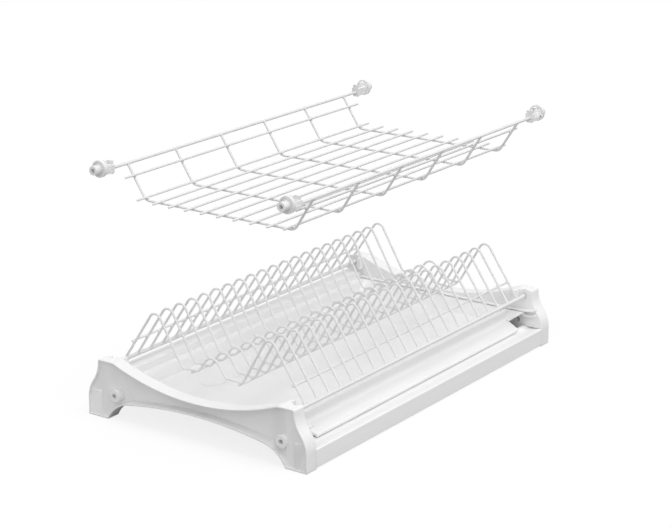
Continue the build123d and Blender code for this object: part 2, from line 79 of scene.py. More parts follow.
# A tangent is taken over this far to each side, in metres
TANGENT_REACH = 1e-5
# Rings and sides of a weld's bridge of coating, its poles counted among the rings
WELD_RINGS, WELD_SIDES = 7, 10

Socket = bpy.types.NodeSocket
# Sockets of a colour Mix node: its two colours and its result
MIX_A, MIX_B, MIX_RESULT = 6, 7, 2


# Colours and nodes


def linear(code: str) -> tuple[float, float, float, float]:
    """Turns an sRGB hex colour to linear light, by the curve of the sRGB standard.

    Args:
        code: six hex digits, such as "F2F2F2".

    Returns:
        Red, green, blue and an alpha of 1.
    """
    parts = [int(code[i : i + 2], 16) / 255 for i in (0, 2, 4)]
    red, green, blue = [p / 12.92 if p <= 0.04045 else ((p + 0.055) / 1.055) ** 2.4 for p in parts]
    return red, green, blue, 1.0


def add_node(tree: bpy.types.NodeTree, kind: str, settings: dict[str | int, object],
             links: dict[str | int, Socket]) -> bpy.types.Node:
    """Adds one node with its settings and links.

    Args:
        tree: the node tree.
        kind: the node's bl_idname.
        settings: attribute, or input socket name or index, to value.
        links: input socket name or index to the output socket that feeds it.

    Returns:
        The node.
    """
    node = tree.nodes.new(kind)
    for name, value in settings.items():
        if isinstance(name, str) and name in node.bl_rna.properties:
            setattr(node, name, value)
        else:
            node.inputs[name].default_value = value
    for name, source in links.items():
        tree.links.new(source, node.inputs[name])
    return node


# Finishes


class Grain(Enum):
    """How a moulded or drawn surface is textured, as stretch along X, Y and Z."""

    EVEN = (1.0, 1.0, 1.0)
    DRAWN_ALONG_X = (0.02, 1.0, 1.0)


@dataclass(frozen=True)
class Pattern:
    """One layer of noise: its detail and roughness, and the span of its values that is used."""

    detail: float
    roughness: float
    low: float
    high: float


TONE_PATCHES = Pattern(detail=3.0, roughness=0.55, low=0.32, high=0.68)
SURFACE_GRAIN = Pattern(detail=3.0, roughness=0.6, low=0.3, high=0.7)
GLOSS_MARKS = Pattern(detail=2.0, roughness=0.5, low=0.3, high=0.7)


@dataclass(frozen=True)
class WhitePlastic:
    """A white plastic with a fine surface grain and broad, soft changes of tone and gloss.

    Sizes are in millimetres. The tone mixes body and shade in soft patches, a fine mottle darkens
    it by a hair, the grain is a bump, and the gloss varies between two roughness values in marks
    smaller than the patches. Edges look rounded by edge_round, and see_through is the share of
    the light that goes under the skin, to see_through_depth. The real grain is about a tenth of
    a millimetre wide and too fine to show, so grain_size is as coarse as it needs to show.
    """

    name: str
    body: str
    shade: str
    gloss_roughness: float
    dull_roughness: float
    grain_size: float
    grain_height: float
    patch_size: float
    ior: float
    grain: Grain = Grain.EVEN
    grain_strength: float = 0.6
    mark_share: float = 0.37
    coat: float = 0.0
    mottle: float = 0.035
    mottle_grey: str = "6E6E6E"
    edge_round: float = 0.0
    edge_samples: int = 8
    see_through: float = 0.0
    see_through_depth: float = 4.0

    def layer(self, tree: bpy.types.NodeTree, run: Socket, pattern: Pattern, size: float,
              low: float, high: float) -> tuple[Socket, Socket]:
        """Adds one layer of noise, and maps the span of it that is used to two values.

        Args:
            tree: the material's node tree.
            run: the coordinates that it follows.
            pattern: the kind of noise.
            size: its size on the object.
            low: what the low end of its span becomes.
            high: what the high end becomes.

        Returns:
            The noise and the mapped value.
        """
        noise = add_node(
            tree, "ShaderNodeTexNoise",
            {"Scale": 1 / (size * MM), "Detail": pattern.detail, "Roughness": pattern.roughness},
            {"Vector": run}).outputs["Fac"]
        mapped = add_node(
            tree, "ShaderNodeMapRange",
            {"From Min": pattern.low, "From Max": pattern.high, "To Min": low, "To Max": high},
            {"Value": noise}).outputs[0]
        return noise, mapped

    def build(self) -> bpy.types.Material:
        """Makes the material.

        Returns:
            The finished material, its patterns on Object coordinates.
        """
        material = bpy.data.materials.new(self.name)
        material.use_nodes = True
        tree = material.node_tree
        tree.nodes.clear()
        place = add_node(tree, "ShaderNodeTexCoord", {}, {}).outputs["Object"]
        run = add_node(
            tree, "ShaderNodeMapping", {"Scale": self.grain.value}, {"Vector": place}).outputs[0]
        _, patches = self.layer(tree, run, TONE_PATCHES, self.patch_size, 0.0, 1.0)
        tone = add_node(
            tree, "ShaderNodeMix",
            {"data_type": "RGBA", MIX_A: linear(self.body), MIX_B: linear(self.shade)},
            {"Factor": patches}).outputs[MIX_RESULT]
        grain, veil = self.layer(tree, run, SURFACE_GRAIN, self.grain_size, 0.0, self.mottle)
        colour = add_node(
            tree, "ShaderNodeMix", {"data_type": "RGBA", MIX_B: linear(self.mottle_grey)},
            {"Factor": veil, MIX_A: tone}).outputs[MIX_RESULT]
        _, rough = self.layer(
            tree, run, GLOSS_MARKS, self.patch_size * self.mark_share,
            self.gloss_roughness, self.dull_roughness)
        relief = add_node(
            tree, "ShaderNodeBump",
            {"Strength": self.grain_strength, "Distance": self.grain_height * MM},
            {"Height": grain})
        if self.edge_round:
            rounded = add_node(
                tree, "ShaderNodeBevel",
                {"samples": self.edge_samples, "Radius": self.edge_round * MM}, {})
            tree.links.new(rounded.outputs[0], relief.inputs["Normal"])
        shader = add_node(
            tree, "ShaderNodeBsdfPrincipled",
            {"IOR": self.ior, "Coat Weight": self.coat, "Subsurface Weight": self.see_through,
             "Subsurface Radius": (1.0, 1.0, 1.0),
             "Subsurface Scale": self.see_through_depth * MM},
            {"Base Color": colour, "Roughness": rough, "Normal": relief.outputs[0]})
        add_node(tree, "ShaderNodeOutputMaterial", {}, {"Surface": shader.outputs[0]})
        return material


# Injection-moulded polypropylene: a soft satin that never quite shines, faintly mottled where it
# cooled, and a little see-through, so that its edges stay light
MOULDED_POLYPROPYLENE = WhitePlastic(
    name="moulded_polypropylene", body="F1F1F1", shade="EDEDED",
    gloss_roughness=0.42, dull_roughness=0.52, grain_size=0.9, grain_height=0.014,
    patch_size=60.0, ior=1.49, edge_round=0.8, see_through=0.35)
# Extruded rigid PVC: satin with fine lines along its length from the die
EXTRUDED_PVC = WhitePlastic(
    name="extruded_pvc", body="F2F2F2", shade="EFEFEF",
    gloss_roughness=0.36, dull_roughness=0.44, grain_size=1.1, grain_height=0.012,
    patch_size=24.0, ior=1.53, grain=Grain.DRAWN_ALONG_X, edge_round=0.7)
# Moulded polystyrene: a dull, finely grained tray face, its tone drifting slowly across the sheet
MOULDED_POLYSTYRENE = WhitePlastic(
    name="moulded_polystyrene", body="EFEFEF", shade="EBEBEB",
    gloss_roughness=0.46, dull_roughness=0.56, grain_size=1.3, grain_height=0.010,
    patch_size=85.0, ior=1.50, mottle=0.045, edge_round=0.3)
# Steel wire dipped in soft white vinyl: a smooth skin with the slight orange peel of a dip
DIPPED_VINYL = WhitePlastic(
    name="dipped_vinyl_on_steel", body="E6E6E6", shade="E1E1E1",
    gloss_roughness=0.30, dull_roughness=0.40, grain_size=2.1, grain_height=0.025,
    patch_size=30.0, ior=1.50, coat=0.1)
# Moulded nylon: a close, even skin, a touch greyer and shinier than the frames
MOULDED_NYLON = WhitePlastic(
    name="moulded_nylon", body="ECECEC", shade="E6E6E6",
    gloss_roughness=0.38, dull_roughness=0.48, grain_size=1.4, grain_height=0.010,
    patch_size=18.0, ior=1.53, mottle=0.02)


# Objects and surfaces


def link_object(name: str, data: bpy.types.ID) -> bpy.types.Object:
    """Makes an object at the origin and links it to the scene.

    Args:
        name: the object's name.
        data: its mesh, lamp or camera.

    Returns:
        The object.
    """
    made = bpy.data.objects.new(name, data)
    bpy.context.scene.collection.objects.link(made)
    return made


@dataclass
class Surface:
    """Points and faces gathered from several closed shells."""

    points: list[np.ndarray] = field(default_factory=list)
    faces: list[list[int]] = field(default_factory=list)
    count: int = 0

    def add_closed_tube(self, rings: np.ndarray, first_pole: np.ndarray,
                        last_pole: np.ndarray) -> None:
        """Adds a tube given as rings of points, with a pole at each end.

        Args:
            rings: an array of rings by points round by 3.
            first_pole: the point that closes the first ring.
            last_pole: the point that closes the last ring.
        """
        along, round_, _ = rings.shape
        index = self.count + np.arange(along * round_).reshape(along, round_)
        beside = np.roll(index, -1, axis=1)
        quads = np.stack([index[:-1], beside[:-1], beside[1:], index[1:]], axis=-1).reshape(-1, 4)
        pole = self.count + along * round_
        self.points += [rings.reshape(-1, 3), np.stack([first_pole, last_pole])]
        start_fan = np.stack([np.full(round_, pole), beside[0], index[0]], axis=-1)
        end_fan = np.stack([np.full(round_, pole + 1), index[-1], beside[-1]], axis=-1)
        self.faces += quads.tolist() + start_fan.tolist() + end_fan.tolist()
        self.count += along * round_ + 2

    def add_closed_ring(self, loops: np.ndarray) -> None:
        """Adds a ring whose sections, one after another, lead back to the first.

        Args:
            loops: an array of sections by points round by 3.
        """
        around, corners, _ = loops.shape
        index = self.count + np.arange(around * corners).reshape(around, corners)
        ahead, beside = np.roll(index, -1, axis=0), np.roll(index, -1, axis=1)
        quads = np.stack([index, beside, np.roll(ahead, -1, axis=1), ahead], axis=-1)
        self.points.append(loops.reshape(-1, 3))
        self.faces += quads.reshape(-1, 4).tolist()
        self.count += around * corners

    def build(self, name: str) -> bpy.types.Object:
        """Makes one smooth mesh object at the origin.

        Args:
            name: the object's name.

        Returns:
            The object, linked to the scene, its faces pointing outwards.
        """
        mesh = bpy.data.meshes.new(name)
        mesh.from_pydata(np.concatenate(self.points).tolist(), [], self.faces)
        work = bmesh.new()
        work.from_mesh(mesh)
        bmesh.ops.recalc_face_normals(work, faces=work.faces)
        work.to_mesh(mesh)
        work.free()
        mesh.shade_smooth()
        return link_object(name, mesh)


def cut_away(piece: bpy.types.Object, cutter: bpy.types.Object) -> None:
    """Cuts one closed object out of another and removes the cutter.

    Args:
        piece: what is cut.
        cutter: what is cut away.
    """
    tool = piece.modifiers.new("cut", "BOOLEAN")
    tool.object = cutter
    tool.operation = "DIFFERENCE"
    tool.solver = "EXACT"
    graph = bpy.context.evaluated_depsgraph_get()
    mesh = bpy.data.meshes.new_from_object(piece.evaluated_get(graph))
    piece.modifiers.clear()
    old = piece.data
    piece.data = mesh
    mesh.name = old.name
    bpy.data.meshes.remove(old)
    spent = cutter.data
    bpy.data.objects.remove(cutter)
    bpy.data.meshes.remove(spent)
    mesh.shade_smooth()
    mesh.set_sharp_from_angle(angle=SHARP_ANGLE)


def softened_copy(node: str, name: str, edge: float,
                  cutter: bpy.types.Object | None = None) -> bpy.types.Object:
    """A copy of a CAD node with its sharp edges rolled over, as a mould or die leaves them.

    Args:
        node: the CAD node.
        name: the copy's name.
        edge: the width of the rolled edge, in millimetres.
        cutter: a closed object to cut away first, which is used up.

    Returns:
        The copy, which replaces the node.
    """
    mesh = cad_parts[node].data.copy()
    mesh.name = name
    mesh.materials.clear()
    work = bmesh.new()
    work.from_mesh(mesh)
    bmesh.ops.remove_doubles(work, verts=work.verts, dist=MERGE_DISTANCE)
    bmesh.ops.dissolve_limit(
        work, angle_limit=FLAT_ANGLE, use_dissolve_boundaries=False, verts=work.verts,
        edges=work.edges)
    work.to_mesh(mesh)
    work.free()
    mesh.shade_smooth()
    mesh.set_sharp_from_angle(angle=SHARP_ANGLE)
    piece = link_object(name, mesh)
    if cutter is not None:
        cut_away(piece, cutter)
    roll = piece.modifiers.new("rolled_edges", "BEVEL")
    roll.width = edge * MM
    roll.segments = ROLL_FLATS
    roll.limit_method = "ANGLE"
    roll.angle_limit = SHARP_ANGLE
    roll.use_clamp_overlap = True
    roll.harden_normals = True
    roll.miter_outer = "MITER_ARC"
    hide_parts(node)
    return piece


def dress(piece: bpy.types.Object, finish: bpy.types.Material, body: str) -> None:
    """Gives a piece its finish and body, and reports it.

    Args:
        piece: the object.
        finish: its material.
        body: the CAD body that it rides on.
    """
    piece.data.materials.clear()
    piece.data.materials.append(finish)
    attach(piece, body)
    log.info("%s rides on %s, %d faces", piece.name, body, len(piece.data.polygons))


def depth_and_height(node: str) -> np.ndarray:
    """The middle of a CAD node's box at rest, as Y and Z in metres."""
    low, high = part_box(node)
    return np.array([(low.y + high.y) / 2, (low.z + high.z) / 2])


# The lower unit


@dataclass
class LowerUnit:
    """The two end frames, the two rails between them and the drip tray. Sizes in millimetres.

    The front rail's ledge runs back from ledge_front. Its dip and the end of its rise lie at a
    share of its width, the rail's front wall stays as it is, and so does all that is below
    ledge_underside. The ledge is cut into strips, so that it curves.
    """

    frame_edge: float = 0.45
    rail_edge: float = 0.35
    tray_edge: float = 0.4
    ledge_front: float = -140.0
    ledge_width: float = 24.0
    ledge_dip: float = 1.5
    ledge_rise: float = 0.8
    ledge_dip_share: float = 0.58
    ledge_rise_share: float = 0.84
    ledge_underside: float = 14.0
    wall: float = 2.4
    strips: int = 24

    def build(self, frame_finish: bpy.types.Material, rail_finish: bpy.types.Material,
              tray_finish: bpy.types.Material) -> None:
        """Makes the frames, rails and tray.

        Args:
            frame_finish: the end frames' material.
            rail_finish: the rails' material.
            tray_finish: the tray's material.
        """
        for node in ("left_end_frame", "right_end_frame"):
            moulding = softened_copy(node, f"{node}_moulding", self.frame_edge)
            dress(moulding, frame_finish, "base")
        for node in ("front_rail", "rear_rail"):
            rail = softened_copy(node, f"{node}_profile", self.rail_edge)
            if node == "front_rail":
                self.roll_ledge(rail)
            dress(rail, rail_finish, "base")
        tray = softened_copy("drip_tray", "drip_tray_sheet", self.tray_edge)
        dress(tray, tray_finish, "drip_tray")

    def roll_ledge(self, rail: bpy.types.Object) -> None:
        """Rolls the front rail's ledge down behind its front edge and up to the tray's lip.

        With u the share of the ledge's width behind its front edge, a the share at the dip and b
        the share at the lip, a point sinks by D * (1 - cos(pi * u / a)) / 2 up to the dip, then
        rises again as the square of (u - a) / (b - a), from -D to +R, and stays at +R behind b.

        Args:
            rail: the front rail.
        """
        work = bmesh.new()
        work.from_mesh(rail.data)
        front, back = self.ledge_front + self.wall, self.ledge_front + self.ledge_width
        for y in np.linspace(front, back, self.strips):
            bmesh.ops.bisect_plane(
                work, geom=[*work.verts, *work.edges, *work.faces], plane_co=(0, y * MM, 0),
                plane_no=Y_AXIS)
        work.to_mesh(rail.data)
        work.free()
        flat = np.empty(3 * len(rail.data.vertices), np.float32)
        rail.data.vertices.foreach_get("co", flat)
        points = flat.reshape(-1, 3).astype(float)
        share = (points[:, 1] / MM - self.ledge_front) / self.ledge_width
        down = np.minimum(share / self.ledge_dip_share, 1.0)
        climb = self.ledge_rise_share - self.ledge_dip_share
        up = np.clip((share - self.ledge_dip_share) / climb, 0.0, 1.0)
        moved = MM * ((self.ledge_dip + self.ledge_rise) * up**2
                      - self.ledge_dip * (1 - np.cos(math.pi * down)) / 2)
        ledge = (share > self.wall / self.ledge_width) & (points[:, 2] > self.ledge_underside * MM)
        points[:, 2] += np.where(ledge, moved, 0.0)
        rail.data.vertices.foreach_set("co", points.astype(np.float32).ravel())
        rail.data.update()
        rail.data.set_sharp_from_angle(angle=SHARP_ANGLE)


# Wires


def rounded_route(corners: Sequence[Sequence[float]], radii: Sequence[float]) -> np.ndarray:
    """A line through corners with a round bend at each inner one.

    A bend's centre lies on the bisector of its corner at radius / sin(half the angle between the
    runs), and its arc starts and ends at radius / tan(half that angle) from the corner.

    Args:
        corners: the corner points in millimetres.
        radii: one bend radius for each inner corner, in millimetres.

    Returns:
        The points, in metres.
    """
    points = [np.asarray(c, float) for c in corners]
    out = [points[0][None]]
    for before, corner, after, radius in zip(points, points[1:], points[2:], radii):
        back = (before - corner) / np.linalg.norm(before - corner)
        ahead = (after - corner) / np.linalg.norm(after - corner)
        half = math.acos(float(np.clip(back @ ahead, -1, 1))) / 2
        bisector = (back + ahead) / np.linalg.norm(back + ahead)
        centre = corner + bisector * radius / math.sin(half)
        start = corner + back * radius / math.tan(half) - centre
        sweep = math.pi - 2 * half
        side = (-bisector - start / radius * math.cos(sweep / 2)) / math.sin(sweep / 2)
        steps = max(2, math.ceil(math.degrees(sweep) / BEND_STEP))
        angle = np.linspace(0, sweep, steps + 1)[:, None]
        out.append(centre + radius * (np.cos(angle) * start / radius + np.sin(angle) * side))
    out.append(points[-1][None])
    return np.concatenate(out) * MM


def points_along(route: np.ndarray, place: np.ndarray, stations: np.ndarray) -> np.ndarray:
    """Points on a route at given distances along it.

    Args:
        route: the route's own points.
        place: how far along each of them lies.
        stations: the distances that are asked for.

    Returns:
        One point for each station.
    """
    return np.stack([np.interp(stations, place, route[:, k]) for k in range(3)], axis=-1)


class WireEnd(Enum):
    """How a coated wire ends."""

    DOME = "dome"
    WELDED = "welded"


@dataclass
class CoatedWire:
    """A round wire along a route in one plane, with its skin of coating.

    Its surface is route(s) + r(s) * (cos(a) * across(s) + sin(a) * normal), where normal is square
    to the route's plane and across = normal x tangent. A domed end follows
    r(s) = sqrt(R^2 - (R - s)^2), and a welded one flares as R + F * exp(-s / L), where the coating
    runs out on what the wire is welded to. The route is in metres, and the sizes in millimetres.
    """

    route: np.ndarray
    plane_normal: tuple[float, float, float]
    diameter: float
    end: WireEnd = WireEnd.DOME
    sides: int = 14
    flare: float = 0.55
    flare_length: float = 0.9

    def add_to(self, surface: Surface) -> None:
        """Adds the wire to a surface.

        Args:
            surface: what gathers the shells.
        """
        radius = self.diameter * MM / 2
        route = self.route
        steps = np.linalg.norm(np.diff(route, axis=0), axis=1)
        place = np.concatenate([[0.0], np.cumsum(steps)])
        total = place[-1]
        if self.end is WireEnd.DOME:
            angle = np.linspace(DOME_START, math.pi / 2, DOME_RINGS)
            near = radius * (1 - np.cos(angle))
            widths = radius * np.sin(angle)
        else:
            near = np.array(FLARE_RINGS) * MM
            widths = radius + self.flare * MM * np.exp(-near / (self.flare_length * MM))
        clear = near[-1] * END_MARGIN
        inner = place[(place > clear) & (place < total - clear)]
        stations = np.concatenate([near, inner, total - near[::-1]])
        radii = np.concatenate([widths, np.full(len(inner), radius), widths[::-1]])
        centres = points_along(route, place, stations)
        tangent = (points_along(route, place, stations + TANGENT_REACH)
                   - points_along(route, place, stations - TANGENT_REACH))
        tangent /= np.linalg.norm(tangent, axis=1, keepdims=True)
        normal = np.asarray(self.plane_normal, float)
        across = np.cross(normal, tangent)
        a = np.linspace(0, 2 * math.pi, self.sides, endpoint=False)
        ring = np.cos(a)[None, :, None] * across[:, None, :] + np.sin(a)[None, :, None] * normal
        rings = centres[:, None, :] + radii[:, None, None] * ring
        surface.add_closed_tube(rings, route[0], route[-1])


# Wire racks


def row(count: int, pitch: float) -> list[float]:
    """The places of a row centred on zero, from the lowest up."""
    first = -pitch * (count - 1) / 2
    return [first + n * pitch for n in range(count)]


@dataclass
class WireRack:
    """What both racks share: their wire and rods, and the way that they are welded.

    Sizes are in millimetres, and places across the width are (depth, height). Each rack names the
    body that it rides on. A bent wire's end sinks into its rod by weld_sink. A bridge of coating
    covers each crossing of two wires: weld_reach is half its width, and weld_thickness half its
    height.
    """

    body: str = ""
    wire_diameter: float = 2.5
    rod_diameter: float = 4.5
    straight_sides: int = 20
    weld_sink: float = 0.3
    weld_reach: float = 2.1
    weld_thickness: float = 1.5

    def wire_start(self, rod: tuple[float, float],
                   corner: tuple[float, float]) -> tuple[float, float]:
        """Where a bent wire starts, just under its rod's skin on the way to its first corner.

        Args:
            rod: the rod's middle.
            corner: the wire's first corner.

        Returns:
            The start.
        """
        share = (self.rod_diameter / 2 - self.weld_sink) / math.dist(rod, corner)
        return rod[0] + (corner[0] - rod[0]) * share, rod[1] + (corner[1] - rod[1]) * share

    def coated(self, surface: Surface, name: str, finish: bpy.types.Material,
               node: str | None = None) -> None:
        """Makes one coated piece of the rack from what a surface has gathered.

        Args:
            surface: the gathered wires or welds.
            name: the piece's name.
            finish: the coating.
            node: the CAD node that it replaces, if there is one.
        """
        piece = surface.build(name)
        if node is not None:
            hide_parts(node)
        dress(piece, finish, self.body)

    def straight(self, node: str, name: str, diameter: float, finish: bpy.types.Material) -> None:
        """Makes one round wire or rod along X in place of a CAD node.

        Args:
            node: the CAD node, whose box gives the place and length.
            name: the piece's name.
            diameter: the wire's diameter.
            finish: the coating.
        """
        low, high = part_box(node)
        y, z = depth_and_height(node)
        route = np.array([[low.x, y, z], [high.x, y, z]])
        surface = Surface()
        CoatedWire(route, Y_AXIS, diameter, sides=self.straight_sides).add_to(surface)
        self.coated(surface, name, finish, node)

    def bent(self, node: str, name: str, corners: Sequence[tuple[float, float]],
             radii: Sequence[float], places: Sequence[float], finish: bpy.types.Material) -> None:
        """Makes a row of equal bent wires, each across X and welded to the rods at its ends.

        Args:
            node: the CAD node that they replace.
            name: the piece's name.
            corners: a wire's corners from front to back.
            radii: one bend radius for each inner corner.
            places: the wires' places along X.
            finish: the coating.
        """
        flat = rounded_route([(0.0, y, z) for y, z in corners], radii)
        surface = Surface()
        for x in places:
            route = flat + np.array([x * MM, 0, 0])
            CoatedWire(route, X_AXIS, self.wire_diameter, WireEnd.WELDED).add_to(surface)
        self.coated(surface, name, finish, node)

    def add_weld(self, surface: Surface, centre: Sequence[float], along: Sequence[float],
                 joining: Sequence[float]) -> None:
        """Adds the bridge of coating round a weld of two crossing wires, one of them along X.

        With R its reach and T its thickness, both from its middle, the bridge is
        centre + R * (sin(p) cos(t) * X + sin(p) sin(t) * along) + T * cos(p) * joining.

        Args:
            surface: what gathers the shells.
            centre: the point midway between the two wires.
            along: unit direction of the wire that isn't along X.
            joining: unit direction from one wire to the other.
        """
        polar = np.linspace(0, math.pi, WELD_RINGS)[1:-1][:, None]
        turn = np.linspace(0, 2 * math.pi, WELD_SIDES, endpoint=False)[None, :]
        across, beside, up = (np.asarray(v, float) for v in (X_AXIS, along, joining))
        middle = np.asarray(centre, float)
        rings = middle + (
            self.weld_reach * (np.sin(polar) * np.cos(turn))[..., None] * across
            + self.weld_reach * (np.sin(polar) * np.sin(turn))[..., None] * beside
            + self.weld_thickness * (np.cos(polar) * np.ones_like(turn))[..., None] * up
        )
        top, bottom = middle + self.weld_thickness * up, middle - self.weld_thickness * up
        surface.add_closed_tube(rings * MM, top * MM, bottom * MM)


@dataclass
class PlateRack(WireRack):
    """Twenty-one bent separators across two rods, tied by four long wires."""

    body: str = "plate_rack"
    count: int = 21
    pitch: float = 20.05
    rod: tuple[float, float] = (116.4, 55.7)
    peak: tuple[float, float] = (72.6, 119.8)
    trough_outer: tuple[float, float] = (38.6, 61.8)
    trough_inner: tuple[float, float] = (17.2, 63.2)
    bump_height: float = 87.0
    peak_radius: float = 7.5
    trough_radius: float = 5.0
    bump_radius: float = 10.0

    def profile(self) -> tuple[list[tuple[float, float]], list[float]]:
        """The separator's corners and bend radii.

        Returns:
            The corners from front to back, and one radius for each inner corner.
        """
        start = self.wire_start(self.rod, self.peak)
        half = [start, self.peak, self.trough_outer, self.trough_inner]
        corners = [(-y, z) for y, z in half] + [(0.0, self.bump_height)] + half[::-1]
        radii = [self.peak_radius, self.trough_radius, self.trough_radius]
        return corners, radii + [self.bump_radius] + radii[::-1]

    def build(self, finish: bpy.types.Material) -> None:
        """Makes the separators, the rods and the long wires with their welds.

        Args:
            finish: the coating.
        """
        corners, radii = self.profile()
        places = row(self.count, self.pitch)
        self.bent("plate_rack_separators", "separator_wires", corners, radii, places, finish)
        for node in ("plate_rack_front_rod", "plate_rack_rear_rod"):
            self.straight(node, f"{node}_bar", self.rod_diameter, finish)
        runs = {
            "plate_rack_rear_outer_wire": (self.rod, self.peak),
            "plate_rack_rear_trough_wire": (self.trough_outer, self.trough_inner),
            "plate_rack_front_trough_wire": (self.trough_outer, self.trough_inner),
            "plate_rack_front_outer_wire": (self.rod, self.peak),
        }
        for node, (start, end) in runs.items():
            self.straight(node, f"{node}_tie", self.wire_diameter, finish)
            self.weld_row(node, start, end, places, finish)

    def weld_row(self, node: str, start: tuple[float, float], end: tuple[float, float],
                 places: Sequence[float], finish: bpy.types.Material) -> None:
        """Makes the coating bridges where one long wire crosses the separators.

        Args:
            node: the long wire's CAD node.
            start: first corner of the run that it crosses, at the back.
            end: last corner of that run.
            places: the separators' places along X.
            finish: the coating.
        """
        wire = depth_and_height(node) / MM
        side = -1.0 if wire[0] < 0 else 1.0
        run = np.array([side * (end[0] - start[0]), end[1] - start[1]])
        run /= np.linalg.norm(run)
        origin = np.array([side * start[0], start[1]])
        foot = origin + run * ((wire - origin) @ run)
        joining = (wire - foot) / np.linalg.norm(wire - foot)
        middle = (wire + foot) / 2
        surface = Surface()
        for x in places:
            self.add_weld(surface, (x, *middle), (0, *run), (0, *joining))
        self.coated(surface, f"{node}_welds", finish)


@dataclass
class GlassRack(WireRack):
    """The hanging rack: six bent cross wires, ten bottom wires, two side wires and two rods.

    The long wires lie on the cross wires, weld_gap off them. The whole rack sits further to the
    front than the lower unit, by forward.
    """

    body: str = "glass_rack"
    forward: float = 2.4
    cross_count: int = 6
    cross_pitch: float = 75.2
    rod_diameter: float = 3.2
    rod: tuple[float, float] = (116.6, 262.6)
    bend: tuple[float, float] = (93.5, 227.3)
    bend_radius: float = 9.0
    bottom_count: int = 10
    bottom_reach: float = 91.8
    edge_rise: float = 1.1
    long_half: float = 204.0
    side_share: float = 0.66
    weld_gap: float = 0.15

    def build(self, finish: bpy.types.Material) -> None:
        """Makes the cross wires, the rods, and the long wires with their welds.

        Args:
            finish: the coating.
        """
        half = [self.wire_start(self.rod, self.bend), self.bend]
        corners = [(-y - self.forward, z) for y, z in half]
        corners += [(y - self.forward, z) for y, z in half[::-1]]
        places = row(self.cross_count, self.cross_pitch)
        self.bent("glass_rack_cross_wires", "glass_rack_cross_wires_bent", corners,
                  [self.bend_radius, self.bend_radius], places, finish)
        for node in ("glass_rack_front_rod", "glass_rack_rear_rod"):
            self.straight(node, f"{node}_bar", self.rod_diameter, finish)
        welds = Surface()
        self.bottom_wires(places, welds, finish)
        self.side_wires(places, welds, finish)
        self.coated(welds, "glass_rack_welds", finish)

    def add_long_wire(self, surface: Surface, y: float, z: float) -> None:
        """Adds one straight wire along X at a depth and height."""
        route = np.array([[-self.long_half, y, z], [self.long_half, y, z]]) * MM
        CoatedWire(route, Y_AXIS, self.wire_diameter).add_to(surface)

    def bottom_wires(self, places: Sequence[float], welds: Surface,
                     finish: bpy.types.Material) -> None:
        """Makes the wires that lie on the flat bottom, the outer two a little higher.

        Args:
            places: the cross wires' places along X.
            welds: what gathers the rack's welds.
            finish: the coating.
        """
        above = self.wire_diameter + self.weld_gap
        pitch = 2 * self.bottom_reach / (self.bottom_count - 1)
        bottom = Surface()
        for n in range(self.bottom_count):
            y = -self.forward - self.bottom_reach + n * pitch
            outer = n in (0, self.bottom_count - 1)
            z = self.bend[1] + above + (self.edge_rise if outer else 0.0)
            self.add_long_wire(bottom, y, z)
            for x in places:
                self.add_weld(welds, (x, y, z - above / 2), Y_AXIS, Z_AXIS)
        self.coated(bottom, "glass_rack_bottom_wires_straight", finish, "glass_rack_bottom_wires")

    def side_wires(self, places: Sequence[float], welds: Surface,
                   finish: bpy.types.Material) -> None:
        """Makes the wire on the inside of each slope, at a share of the slope's length.

        Args:
            places: the cross wires' places along X.
            welds: what gathers the rack's welds.
            finish: the coating.
        """
        above = self.wire_diameter + self.weld_gap
        run = np.subtract(self.rod, self.bend)
        length = np.linalg.norm(run)
        inside = np.array([-run[1], run[0]]) / length
        foot = np.array(self.bend) + run * self.side_share
        y, z = foot + inside * above
        middle = foot + inside * above / 2
        sides = Surface()
        for side in (-1.0, 1.0):
            self.add_long_wire(sides, side * y - self.forward, z)
            for x in places:
                self.add_weld(
                    welds, (x, side * middle[0] - self.forward, middle[1]),
                    (0, side * run[0] / length, run[1] / length), (0, side * inside[0], inside[1]))
        self.coated(sides, "glass_rack_side_wires_straight", finish, "glass_rack_side_wires")


# End fittings


